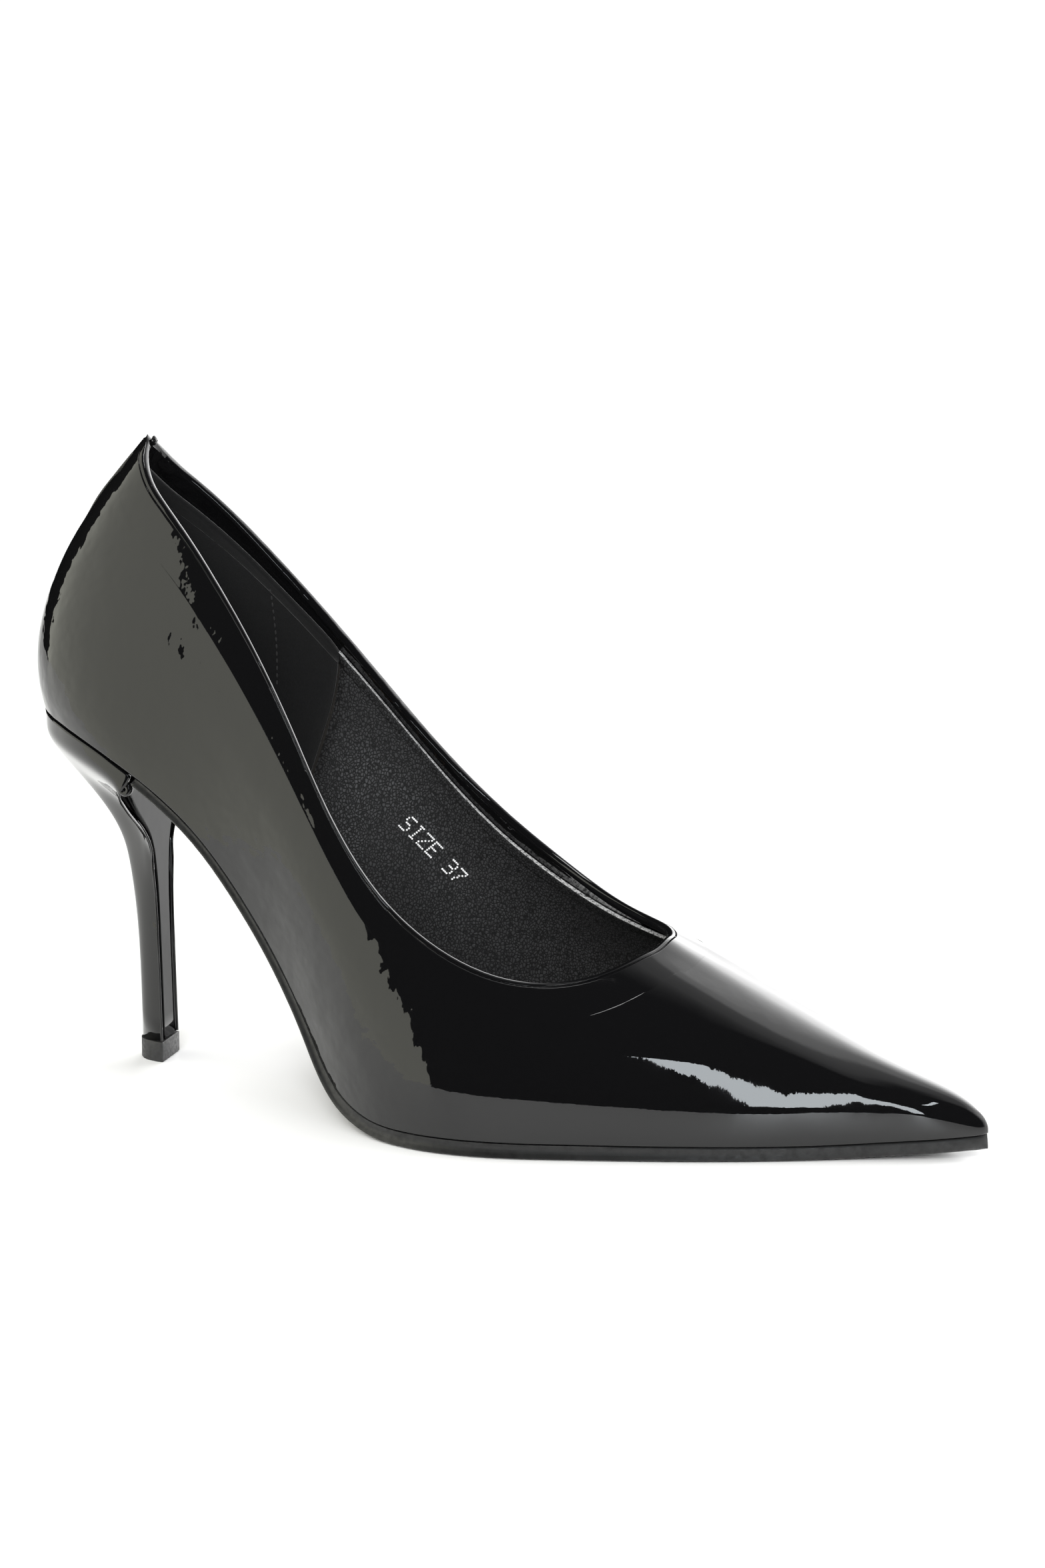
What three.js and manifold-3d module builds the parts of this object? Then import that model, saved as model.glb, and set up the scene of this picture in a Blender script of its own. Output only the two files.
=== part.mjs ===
// A pointed high heel pump for the right foot, with a slim covered heel.
// Millimetres, +Z up, toe towards +X, outer (lateral) side of the foot towards -Y.
// The origin is on the ground, under the middle of the whole shoe.
//
// The shoe is drafted as a last is: ribs run from the feather line, where the upper turns under the foot,
// up to the topline. Every leather layer is an inset of that one outer surface. Every bottom layer is a
// height above or below one sheet, the bottom, that carries the feather line. While drafting, x is measured
// from the back of the seat.

import * as THREE from "three";
import { mergeVertices } from "three/addons/utils/BufferGeometryUtils.js";
import Module from "manifold-3d";

const wasm = await Module();
wasm.setup();

// ---------------------------------------------------------------------------------------------
// Driving dimensions
// ---------------------------------------------------------------------------------------------

const SHOE_LENGTH = 229.3; // back of the seat to the toe tip, along the ground
const SHOE_WIDTH = 79.5; // across the feather line at the ball
const SEAT_HEIGHT = 85.5; // ground to the feather line at the back of the heel
const WALL_HEIGHT = 64.5; // feather line to topline at the back seam

const UPPER_THICKNESS = 1.1;
const STIFFENER_THICKNESS = 0.8; // toe puff and heel counter
const LINING_THICKNESS = 0.8;
const LAYER_GAP = 0.15; // glue line between two leather layers
const FIT_GAP = 0.3; // clearance between separate solids that touch
const FACET_ROOM = 0.05; // extra room under the lining, where its facets sag towards the upper
const SEAT_SAG = 0.1; // how far the middle of the heel's seat is dished
const CLEAR_THROUGH = 10; // how far a cutter runs past the face that it opens
const BORE_GAP = 0.15; // clearance round a pin, nail or tube in its hole

const LASTING_MARGIN = 8; // how far the upper and lining turn under the boards
const BINDING_THICKNESS = 0.55;
const BINDING_DEPTH = 10; // how far the topline binding reaches down inside
const LINING_DROP = 6; // topline to the lining's top edge
const GRIP_LENGTH = 54.5; // suede heel grip, from the back seam forward along the sides
const TAPE_WIDTH = 5;
const TAPE_THICKNESS = 0.25;
const INTERLINING_THICKNESS = 0.45;

const SOLE_FOREPART = 3.4; // outsole thickness under the ball and toe
const SOLE_WAIST = 2.3; // outsole thickness under the arch
const SOLE_INSET = 0.3; // feather line to the edge of the outsole
const SOLE_BEVEL = 1.2; // how far the ground edge is rounded under
const BOARD_THICKNESS = 1.6; // insole board
const SHANK_BOARD_THICKNESS = 1.6;
const FOAM_THICKNESS = 1.8;
const SOCK_THICKNESS = 0.9;
const SOCK_TOE_SETBACK = 14; // toe tip to the front end of the sock lining
const SHANK_WIDTH = 11;
const SHANK_THICKNESS = 1.4;
const RIVET_RADIUS = 1.5;

const TIP_HEIGHT = 5; // the replaceable top piece
const TIP_OVERHANG = 0.35;
const SHAFT_WIDTH = 8.8; // heel shaft across the breast, above the top piece
const SHAFT_DEPTH = 6.4; // heel shaft from breast to back
const COVER_THICKNESS = 0.8;
const TUBE_RADIUS = 1.4;
const TUBE_BORE = 0.95;
const TUBE_LENGTH = 46;
const PIN_LENGTH = 16; // of the top piece's pin, inside the tube
const PIN_DEPTH = 3.2; // of the same pin, inside the top piece
const SCREW_RADIUS = 1.8;
const SCREW_LENGTH = 24;
const NAIL_RADIUS = 0.9;
const NAIL_LENGTH = 15;

// ---------------------------------------------------------------------------------------------
// The draft. It was drawn at the sizes below, and is graded to the driving dimensions.
// ---------------------------------------------------------------------------------------------

const DRAFT = { length: 229.3, width: 79.5, seat: 85.5, wall: 64.5, sole: 3.4 };
const gradeX = SHOE_LENGTH / DRAFT.length;
const gradeY = SHOE_WIDTH / DRAFT.width;
const gradeZ = WALL_HEIGHT / DRAFT.wall;

// Height of the bottom along the foot, as drafted: seat, arch, tread and toe spring.
const BOTTOM = [
  [-6, 85.6],
  [6, 84.9],
  [18, 82.1],
  [30, 76.4],
  [42, 67.5],
  [54, 54.4],
  [65, 39.2],
  [74, 24.8],
  [81, 13.2],
  [87, 7.2],
  [95, 4.4],
  [106, 3.7],
  [188, 3.7],
  [206, 4.5],
  [232, 6.6],
];

// Each rib: foot x, y | top x, y, rise above the foot | foot handle x, y, z | top handle x, y, z.
const BACK_RIB = [0.6, 0, 25.8, 0, 64.5, -7.6, 0, 22, -16, 0, -19];
const OUTER_RIBS = [
  [6, -13.6, 28.8, -7.6, 58.6, -4.5, -4, 20, -12.5, -4.2, -18.5],
  [22, -23, 38, -12.2, 53.4, 0.5, -4.6, 18, -6.5, -7.2, -17.5],
  [42, -23.4, 54, -17.4, 48.8, 2, -3.2, 16, -2, -10, -14],
  [64, -24.2, 71.3, -25, 52, 2, -4, 17, 0, -9, -14.5],
  [82, -30.3, 85.5, -30.6, 58, 1, -4.4, 18, 1.5, -7.5, -17],
  [98, -38, 99, -33, 50.2, 0.4, -3.6, 15, 1, -7.2, -15.5],
  [120, -39.8, 117.5, -32.2, 39, -0.4, -3.2, 13, 2.2, -8.6, -12],
  [146, -33, 133.5, -26, 35.1, 0, -2.6, 12, 7, -8.2, -8.5],
  [175, -23.2, 144, -17.2, 36.3, 0, -2, 11, 17, -9.2, -10],
  [203, -11.6, 149.3, -8.6, 37.6, 1, -1.4, 9.5, 36, -10, -17],
  [221.5, -5, 151.2, -3, 36.8, 1.4, -0.9, 8, 53, -6, -25.5],
];
const TOE_RIB = [229.2, 0, 151.6, 2, 36.7, 1.6, 0, 7.5, 58, -2, -28.5];
// The inner side has its own feet and tops, and takes its handles from the outer side.
const INNER_FEET_AND_TOPS = [
  [6, 13.6, 28.8, 7.6, 58.6],
  [22, 22.8, 38, 12.2, 53.4],
  [42, 20.6, 54, 17.4, 48.8],
  [64, 17.8, 71, 25.6, 52.6],
  [82, 22.6, 86, 31, 62],
  [98, 32, 100.5, 31.8, 56.6],
  [120, 39.7, 117, 29, 46.8],
  [146, 36.2, 130.5, 23.4, 41.2],
  [175, 25.4, 142, 16.4, 39.3],
  [203, 12.6, 149.2, 10, 38.6],
  [221.5, 5, 151.2, 6, 37],
];

// Smooth curve through points of rising x, level where two neighbours are level.
function profile(points) {
  const slope = (i) => (points[i + 1][1] - points[i][1]) / (points[i + 1][0] - points[i][0]);
  const tangent = points.map((_, i) => {
    if (i === 0) return slope(0);
    if (i === points.length - 1) return slope(i - 1);
    const before = slope(i - 1);
    const after = slope(i);
    return before * after <= 0 ? 0 : (2 * before * after) / (before + after);
  });
  return (x) => {
    let i = 0;
    while (i < points.length - 2 && x > points[i + 1][0]) i++;
    const span = points[i + 1][0] - points[i][0];
    const t = (x - points[i][0]) / span;
    if (t < 0) return points[0][1] + tangent[0] * (x - points[0][0]);
    if (t > 1) return points[i + 1][1] + tangent[i + 1] * (x - points[i + 1][0]);
    const s = t * t * (3 - 2 * t);
    const bend = t * (1 - t) * span * ((1 - t) * tangent[i] - t * tangent[i + 1]);
    return points[i][1] * (1 - s) + points[i + 1][1] * s + bend;
  };
}

const draftedBottom = profile(BOTTOM);
const treadLevel = SOLE_FOREPART + FIT_GAP; // the bottom's height over the tread
const bottomRise = (SEAT_HEIGHT - treadLevel) / (DRAFT.seat - DRAFT.sole - FIT_GAP);
const bottom = (x) => treadLevel + (draftedBottom(x / gradeX) - DRAFT.sole - FIT_GAP) * bottomRise;

// A point at a distance d off the bottom, square to it.
function offBottom(x, y, d) {
  const slope = (bottom(x + 0.01) - bottom(x - 0.01)) / 0.02;
  const scale = d / Math.hypot(slope, 1);
  return new THREE.Vector3(x - slope * scale, y, bottom(x) + scale);
}

const lerp = THREE.MathUtils.lerp;
const smooth = THREE.MathUtils.smoothstep;

function gradedRib([fx, fy, tx, ty, rise, ax, ay, az, bx, by, bz]) {
  const foot = new THREE.Vector3(fx * gradeX, fy * gradeY, bottom(fx * gradeX));
  const top = new THREE.Vector3(tx * gradeX, ty * gradeY, foot.z + rise * gradeZ);
  const low = new THREE.Vector3(ax * gradeX, ay * gradeY, az * gradeZ).add(foot);
  const high = new THREE.Vector3(bx * gradeX, by * gradeY, bz * gradeZ).add(top);
  return [foot, low, high, top];
}

const innerRibs = INNER_FEET_AND_TOPS.map((ends, i) => {
  const [ax, ay, az, bx, by, bz] = OUTER_RIBS[i].slice(5);
  return [...ends, ax, -ay, az, bx, -by, bz];
});
const ribs = [BACK_RIB, ...OUTER_RIBS, TOE_RIB, ...innerRibs.reverse()].map(gradedRib);
const toeRib = OUTER_RIBS.length + 1;

// A closed curve of continuous curvature through values at rising knots. The last knot closes it.
function closedSpline(values, knots) {
  const n = values.length;
  const gap = values.map((_, i) => knots[i + 1] - knots[i]);
  const bend = new Array(n).fill(0);
  for (let sweep = 0; sweep < 80; sweep++)
    for (let i = 0; i < n; i++) {
      const last = (i + n - 1) % n;
      const next = (i + 1) % n;
      const turn = (values[next] - values[i]) / gap[i] - (values[i] - values[last]) / gap[last];
      bend[i] = (6 * turn - gap[last] * bend[last] - gap[i] * bend[next]) / (2 * (gap[last] + gap[i]));
    }
  return (t) => {
    let i = n - 1;
    while (i > 0 && knots[i] > t) i--;
    const next = (i + 1) % n;
    const a = (knots[i + 1] - t) / gap[i];
    const b = 1 - a;
    const curved = (a ** 3 - a) * bend[i] + (b ** 3 - b) * bend[next];
    return a * values[i] + b * values[next] + (curved * gap[i] ** 2) / 6;
  };
}

const knots = [0];
ribs.forEach((rib, i) => {
  const next = ribs[(i + 1) % ribs.length];
  const girth = rib.reduce((sum, p, k) => sum + p.distanceTo(next[k]), 0) / rib.length;
  knots.push(knots[i] + girth ** 0.75);
});
const loops = [0, 1, 2, 3].map((k) =>
  ["x", "y", "z"].map((axis) => closedSpline(ribs.map((rib) => rib[k][axis]), knots)),
);
const turn = knots[ribs.length];
const toeKnot = knots[toeRib];

// Point on the outer surface: u runs round the shoe from the back seam, v from feather line to topline.
// The feather line itself lies on the bottom.
function outer(u, v) {
  const w = 1 - v;
  const weights = [w ** 3, 3 * v * w * w, 3 * v * v * w, v ** 3];
  const wrapped = ((u % turn) + turn) % turn;
  const corners = loops.map(([x, y, z]) => new THREE.Vector3(x(wrapped), y(wrapped), z(wrapped)));
  corners[0].z = bottom(corners[0].x);
  return corners.reduce((sum, corner, k) => sum.addScaledVector(corner, weights[k]), new THREE.Vector3());
}

// The outer surface, inset square to itself.
function wall(u, v, inset) {
  const step = 1e-3;
  const lowV = Math.max(v - step, 0);
  const highV = Math.min(v + step, 1);
  const along = outer(u + step, v).sub(outer(u - step, v));
  const upward = outer(u, highV).sub(outer(u, lowV));
  return outer(u, v).addScaledVector(along.cross(upward).normalize(), -inset);
}

// The v that lies a distance below the topline, measured down the rib.
function vBelowTop(u, drop) {
  const steps = 60;
  let travelled = 0;
  let last = outer(u, 1);
  for (let i = steps - 1; i >= 0; i--) {
    const here = outer(u, i / steps);
    const piece = here.distanceTo(last);
    if (travelled + piece >= drop) return (i + 1 - (drop - travelled) / piece) / steps;
    travelled += piece;
    last = here;
  }
  return 0;
}

// The v that lies a height above the bottom, near the foot of the rib.
function vAbove(u, height) {
  let v = 0;
  while (v < 0.5 && outer(u, v).distanceTo(outer(u, 0)) < height) v += 0.002;
  return v;
}

// Feather line moved inwards in plan. It never passes the middle of the foot.
function featherInset(u, inset) {
  const p = outer(u, 0);
  const along = outer(u + 1e-3, 0).sub(outer(u - 1e-3, 0));
  const inwards = new THREE.Vector2(-along.y, along.x).normalize();
  const reach = Math.abs(inwards.y) < 1e-6 ? Infinity : Math.abs(p.y / inwards.y);
  const near = Math.min(inset, 0.85 * (reach > 1 ? reach : 5));
  return new THREE.Vector2(p.x + inwards.x * near, p.y + inwards.y * near);
}

// ---------------------------------------------------------------------------------------------
// Layers, from the outer surface inwards and from the bottom sheet upwards
// ---------------------------------------------------------------------------------------------

const layer = (out, thickness) => ({ out, in: out + thickness });
const stiffener = layer(UPPER_THICKNESS + LAYER_GAP, STIFFENER_THICKNESS);
const interlining = layer(stiffener.out + 0.2, INTERLINING_THICKNESS);
const tape = layer(stiffener.out + LAYER_GAP, TAPE_THICKNESS);
const binding = layer(tape.in + LAYER_GAP, BINDING_THICKNESS);
const lining = layer(binding.in + LAYER_GAP, LINING_THICKNESS);
const foldRadius = binding.in / 2;
const upperDrop = foldRadius + 0.45; // topline to the cut edge of the upper inside the fold
const stiffenerDrop = BINDING_DEPTH + 1;

const liningLow = UPPER_THICKNESS + FIT_GAP + FACET_ROOM;
const liningMargin = { low: liningLow, high: liningLow + LINING_THICKNESS };
const shankBoardLow = liningMargin.high + 1.5 * FIT_GAP;
const boardEdge = lining.in + 3 * FIT_GAP; // feather line to the edge of the boards
const ball = 91 * gradeX; // where the shank board is skived away
const skive = 7 * gradeX;
const onShankBoard = (x) => 1 - smooth(x, ball - skive, ball + skive);
const shankBoardHigh = (x) => shankBoardLow + lerp(0.35, SHANK_BOARD_THICKNESS, onShankBoard(x));
const overSkive = (x) => 1 - smooth(x, ball - skive / 2, ball + 2.5 * skive);
const insoleLow = (x) => shankBoardLow + (SHANK_BOARD_THICKNESS + LAYER_GAP) * overSkive(x);
const insoleHigh = (x) => insoleLow(x) + BOARD_THICKNESS;
const foamLow = (x) => insoleHigh(x) + LAYER_GAP;
const foamHigh = (x) => foamLow(x) + FOAM_THICKNESS;
const sockLow = (x) => foamHigh(x) + LAYER_GAP;
const sockHigh = (x) => sockLow(x) + SOCK_THICKNESS;

const breastX = 31.2 * gradeX; // front edge of the heel seat

// ---------------------------------------------------------------------------------------------
// Solids
// ---------------------------------------------------------------------------------------------

const MATERIALS = {
  patent: { color: 0x0b0b0c, roughness: 0.08, metalness: 0 },
  lining: { color: 0x1c1b1b, roughness: 0.6, metalness: 0 },
  suede: { color: 0x151415, roughness: 0.9, metalness: 0 },
  board: { color: 0x9a7f5c, roughness: 0.9, metalness: 0 },
  foam: { color: 0xd8d2c2, roughness: 0.95, metalness: 0 },
  felt: { color: 0x6f675a, roughness: 0.95, metalness: 0 },
  tape: { color: 0xdedcd6, roughness: 0.8, metalness: 0 },
  sole: { color: 0x17171a, roughness: 0.45, metalness: 0 },
  plastic: { color: 0xd9d4c6, roughness: 0.5, metalness: 0 },
  tip: { color: 0x202022, roughness: 0.6, metalness: 0 },
  steel: { color: 0x8d9196, roughness: 0.35, metalness: 1 },
};

const shoe = new THREE.Group();

function addMesh(name, material, geometry) {
  const mesh = new THREE.Mesh(geometry, new THREE.MeshStandardMaterial(MATERIALS[material]));
  mesh.name = name;
  shoe.add(mesh);
  return mesh;
}

// Geometry from points and triangle corners, with doubles merged, empty triangles dropped and faces outwards.
function bodyOf(points, corners) {
  const raw = new THREE.BufferGeometry().setFromPoints(points);
  raw.setIndex(corners);
  const merged = mergeVertices(raw, 1e-3);
  const at = merged.attributes.position;
  const kept = [];
  let volume = 0;
  const pointAt = (i) => new THREE.Vector3().fromBufferAttribute(at, i);
  for (let i = 0; i < merged.index.count; i += 3) {
    const [p, q, r] = [0, 1, 2].map((k) => merged.index.getX(i + k));
    if (p === q || q === r || r === p) continue;
    kept.push([p, q, r]);
    volume += pointAt(p).dot(pointAt(q).cross(pointAt(r)));
  }
  merged.setIndex(kept.flatMap(([p, q, r]) => (volume > 0 ? [p, q, r] : [p, r, q])));
  return merged;
}

// Closed body through equal loops of points. An open row of loops is capped at both ends.
function loft(sections, closed) {
  const count = sections[0].length;
  const corners = [];
  const quad = (a, b, c, d) => corners.push(a, b, c, a, c, d);
  const spans = closed ? sections.length : sections.length - 1;
  for (let i = 0; i < spans; i++) {
    const here = i * count;
    const there = ((i + 1) % sections.length) * count;
    for (let k = 0; k < count; k++) {
      const next = (k + 1) % count;
      quad(here + k, there + k, there + next, here + next);
    }
  }
  if (!closed) {
    const end = (sections.length - 1) * count;
    for (let k = 0; k < count / 2 - 1; k++) {
      const far = count - 1 - k;
      quad(k, k + 1, far - 1, far);
      quad(end + far, end + far - 1, end + k + 1, end + k);
    }
  }
  return bodyOf(sections.flat(), corners);
}

// Where the feather line passes a given x, on the outer or the inner side of the foot.
function knotAtX(x, side) {
  let [low, high] = side === "outer" ? [0, toeKnot] : [turn, toeKnot];
  for (let i = 0; i < 40; i++) {
    const middle = (low + high) / 2;
    if (outer(middle, 0).x < x) low = middle;
    else high = middle;
  }
  return low;
}

// Stations along the foot, closer where the bottom bends and at both ends. Every layer has its edges on
// them, so that neighbouring layers stay parallel.
const STATIONS = [
  0.6, 3, 9, 18, 27.5, 35.5, 45, 54.5, 63.5, 70, 75.5, 80, 84.5, 89, 95, 103, 114, 128, 144,
  162, 180, 195, 207, 216, 223, 227.5, 229.2,
].map((x) => x * gradeX);
const sideKnots = (side) => [
  side === "outer" ? 0 : turn,
  ...STATIONS.slice(1, -1).map((x) => knotAtX(x, side)),
  toeKnot,
];
const outerKnots = sideKnots("outer");
const innerKnots = sideKnots("inner");
const wholeRound = [...outerKnots, ...innerKnots.slice(1, -1).reverse()];

// Knots of the ribs from a given x round the toe and back, or from a given x round the heel and back.
function roundToe(fromX) {
  const [start, end] = [knotAtX(fromX, "outer"), knotAtX(fromX, "inner")];
  const ahead = (knot) => knot > start + 0.3 && knot < end - 0.3;
  return [start, ...wholeRound.filter(ahead), end];
}

function roundHeel(toX) {
  const [start, end] = [knotAtX(toX, "inner") - turn, knotAtX(toX, "outer")];
  const inside = (knot) => knot > start + 0.3 && knot < end - 0.3;
  return [start, ...innerKnots.slice(1).map((knot) => knot - turn).filter(inside).reverse(),
    ...outerKnots.filter(inside), end];
}

const spread = (from, to, steps) => Array.from({ length: steps + 1 }, (_, i) => lerp(from, to, i / steps));

// Heights up one rib that all the layers share: the foot, the wall, and three lines under the topline.
const WALL_STEPS = 6;
function ribLevels(u) {
  const head = vBelowTop(u, stiffenerDrop);
  const wallLevels = spread(0, 1, WALL_STEPS).map((t) => head * t ** 1.25);
  return [...wallLevels, ...[BINDING_DEPTH, LINING_DROP, upperDrop].map((drop) => vBelowTop(u, drop))];
}

// Points up one rib at the shared heights from the foot to a given count of them.
const upRib = (u, low, high, inset, count) =>
  ribLevels(u)
    .slice(0, count)
    .map((v) => wall(u, Math.min(Math.max(v, low), high), inset));

const MARGIN_MIDDLE = 5; // feather line to a row of points halfway along the margin
const FEATHER_ROUND = 1.5; // feather line to where the upper lies flat under the foot
const alongMargin = (u, insets, d) =>
  insets.map((inset) => {
    const p = featherInset(u, inset);
    return offBottom(p.x, p.y, d);
  });

// A layer that lines the wall and turns under the foot: one closed loop of points at one rib.
function turnedSection(u, count, layer, margin) {
  const outermost = margin.low === 0;
  const foot = outermost ? 0 : vAbove(u, margin.low + 0.2);
  const corner = layer.out + (outermost ? FEATHER_ROUND : FIT_GAP);
  const outside = upRib(u, foot, 1, layer.out, count);
  const inside = upRib(u, vAbove(u, margin.high + 0.5), 1, layer.in, count);
  return [
    ...outside.reverse(),
    ...alongMargin(u, [corner, MARGIN_MIDDLE, LASTING_MARGIN], margin.low),
    ...alongMargin(u, [LASTING_MARGIN, MARGIN_MIDDLE, layer.in + FIT_GAP], margin.high),
    ...inside,
  ];
}

// A layer that only lines the wall.
function wallSection(u, low, high, layer) {
  const count = WALL_STEPS + 1;
  return [...upRib(u, low, high, layer.out, count), ...upRib(u, low, high, layer.in, count).reverse()];
}

function upper() {
  const leather = layer(0, UPPER_THICKNESS);
  const section = (u) => turnedSection(u, WALL_STEPS + 4, leather, { low: 0, high: UPPER_THICKNESS });
  addMesh("upper", "patent", loft(wholeRound.map(section), true));
}

function liningPiece(name, material, knotsAlong) {
  const section = (u) => turnedSection(u, WALL_STEPS + 3, lining, liningMargin);
  addMesh(name, material, loft(knotsAlong.map(section), false));
}

// A strip folded over the top edge: a half round over the cut leather, and a leg down the inside.
function toplineBinding() {
  const fold = spread(0, Math.PI, 5).map((angle) => [
    foldRadius * (1 - Math.sin(angle)),
    foldRadius * (1 - Math.cos(angle)),
  ]);
  const under = upperDrop - LAYER_GAP;
  const leg = [upperDrop, LINING_DROP, BINDING_DEPTH];
  const outline = [
    ...fold,
    ...leg.map((drop) => [drop, binding.in]),
    ...[...leg].reverse().map((drop) => [drop, binding.out]),
    [under, binding.out],
    [under, 0],
  ];
  const section = (u) => outline.map(([drop, inset]) => wall(u, vBelowTop(u, drop), inset));
  addMesh("topline_binding", "patent", loft(wholeRound.map(section), true));
}

function toplineTape() {
  const drops = [upperDrop + 0.1, LINING_DROP, upperDrop + 0.1 + TAPE_WIDTH];
  const section = (u) => [
    ...drops.map((drop) => wall(u, vBelowTop(u, drop), tape.out)),
    ...[...drops].reverse().map((drop) => wall(u, vBelowTop(u, drop), tape.in)),
  ];
  addMesh("topline_tape", "tape", loft(wholeRound.map(section), true));
}

// The v at which a rib comes back to a given x on its way from the toe to the throat.
function vAtX(u, x) {
  let v = 0;
  while (v < 1 && outer(u, v).x > x) v += 0.005;
  return v;
}

const counterEnd = 63.5 * gradeX;
const puffEnd = 180 * gradeX;
const gripEnd = GRIP_LENGTH * gradeX;
const SEAM_GAP = 0.6; // between two pieces of one layer, along the foot

function stiffeners() {
  const foot = (u) => vAbove(u, liningMargin.high);
  const counter = roundHeel(counterEnd).map((u) => wallSection(u, foot(u), 1, stiffener));
  addMesh("heel_counter", "felt", loft(counter, false));
  const puff = roundToe(puffEnd + 4).map((u) => wallSection(u, foot(u), vAtX(u, puffEnd), stiffener));
  addMesh("toe_puff", "felt", loft(puff, false));
  const above = (u) => Math.max(foot(u), vAtX(u, puffEnd - SEAM_GAP));
  const sides = ["outer", "inner"];
  const extra = [4, 8, 11].flatMap((step) => sides.map((side) => knotAtX(puffEnd + step, side)));
  const vampKnots = [...roundToe(counterEnd + SEAM_GAP), ...extra].sort((a, b) => a - b);
  const vamp = vampKnots.map((u) => wallSection(u, above(u), 1, interlining));
  addMesh("vamp_interlining", "tape", loft(vamp, false));
}

// ---------------------------------------------------------------------------------------------
// Bottom pieces: rows across the foot from the outer to the inner side
// ---------------------------------------------------------------------------------------------

// Where an edge passes a given x, on one side of the foot.
function edgeAtX(edge, x, side) {
  let [low, high] = side === "outer" ? [0, toeKnot] : [turn, toeKnot];
  for (let i = 0; i < 40; i++) {
    const middle = (low + high) / 2;
    if (edge(middle).x < x) low = middle;
    else high = middle;
  }
  return new THREE.Vector2(x, edge(low).y);
}

// Rows across the foot from one x to another. With no x given, the rows start at the edge's own back or
// end at its own tip, which are round.
function rowsOf(edge, fromX, toX) {
  const back = edge(0).x;
  const tip = edge(toeKnot).x;
  const starts = fromX === null ? [0.03, 0.9, 3].map((step) => back + step) : [fromX];
  const ends = toX === null ? [3.6, 1.2, 0.03].map((step) => tip - step) : [toX];
  const between = STATIONS.filter((x) => x > starts[starts.length - 1] + 1.5 && x < ends[0] - 1.5);
  const rowAt = (x) => [edgeAtX(edge, x, "outer"), edgeAtX(edge, x, "inner")];
  return [...starts, ...between, ...ends].map(rowAt);
}

function plateSection([outerEdge, innerEdge], low, high, across) {
  const at = (t, d) => {
    const x = lerp(outerEdge.x, innerEdge.x, t);
    return offBottom(x, lerp(outerEdge.y, innerEdge.y, t), typeof d === "number" ? d : d(x));
  };
  const steps = spread(0, 1, across);
  return [...steps.map((t) => at(t, high)), ...steps.reverse().map((t) => at(t, low))];
}

const plate = (rows, low, high, across) =>
  loft(
    rows.map((row) => plateSection(row, low, high, across)),
    false,
  );

// An edge set in from the feather line, and further back and in where the toe box closes over it.
const boardOutline = (inset, toeSetback) => (u) => {
  const toe = smooth(outer(u, 0).x, SHOE_LENGTH - 45, SHOE_LENGTH);
  const p = featherInset(u, inset + (toeSetback / 4) * toe);
  p.x -= toeSetback * toe;
  return p;
};

function outsole() {
  const thickness = (x) => lerp(SOLE_WAIST, SOLE_FOREPART, smooth(x, 72 * gradeX, 100 * gradeX));
  const top = -FIT_GAP;
  const edge = (inset) => (u) => featherInset(u, inset);
  const start = breastX + 1.2;
  const wide = rowsOf(edge(SOLE_INSET), start, null);
  const inwards = ([p, q]) => {
    const half = Math.max(q.y - p.y, 0.1) / 2;
    const bevel = Math.min(SOLE_BEVEL, half * 0.6);
    return [new THREE.Vector2(p.x, p.y + bevel), new THREE.Vector2(q.x, q.y - bevel)];
  };
  const sections = wide.map((row) => {
    const face = plateSection(row, (x) => top - thickness(x) + SOLE_BEVEL, top, 4);
    const tread = plateSection(inwards(row), (x) => top - thickness(x), top, 4);
    return [...face.slice(0, 6), ...tread.slice(5), face[9]];
  });
  addMesh("outsole", "sole", loft(sections, false));
}

function boards() {
  const shankBoardRows = rowsOf(boardOutline(boardEdge + 2 * FIT_GAP, 0), null, ball + skive);
  const shankBoard = plate(shankBoardRows, shankBoardLow, shankBoardHigh, 2);
  const insole = plate(rowsOf(boardOutline(boardEdge, 4), null, null), insoleLow, insoleHigh, 2);
  const seatHoles = [...nailPlaces.map(nailHole), screwHole()];
  const rivetHoles = rivetPlaces.map((x) => onBottom(drum(RIVET_RADIUS + BORE_GAP, 12), x, shankY));
  addMesh("shank_board", "board", cut(shankBoard, [...seatHoles, ...rivetHoles]));
  addMesh("insole_board", "board", cut(insole, seatHoles));
}

function sockAndFoam() {
  const foamEdge = boardOutline(boardEdge + 1, 0);
  addMesh("sock_foam", "foam", plate(rowsOf(foamEdge, null, 186 * gradeX), foamLow, foamHigh, 2));
  const sockRows = rowsOf(boardOutline(boardEdge, SOCK_TOE_SETBACK), null, null);
  addMesh("sock_lining", "lining", plate(sockRows, sockLow, sockHigh, 2));
}

function bottomFiller() {
  const edge = boardOutline(LASTING_MARGIN + FIT_GAP, 0);
  const rows = rowsOf(edge, ball + skive, 198 * gradeX);
  addMesh("bottom_filler", "felt", plate(rows, LAYER_GAP, liningMargin.high, 2));
}

// ---------------------------------------------------------------------------------------------
// Shank, rivets, nails and screw
// ---------------------------------------------------------------------------------------------

const shankY = -1.5 * gradeY;
const shankEnds = [29 * gradeX, 84.5 * gradeX];
const rivetPlaces = [35.5 * gradeX, 70 * gradeX];
const shankLow = shankBoardLow - LAYER_GAP - SHANK_THICKNESS;
const nailPlaces = [
  [14, -5.5],
  [14, 5.5],
  [24.5, -11],
  [24.5, 11],
].map(([x, y]) => [x * gradeX, y * gradeY]);
const screwPlace = [19 * gradeX, 0];
const NAIL_HEAD = { radius: 2, height: 0.7 };
const SCREW_HEAD = { radius: 3, height: 1.1 };

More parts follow.
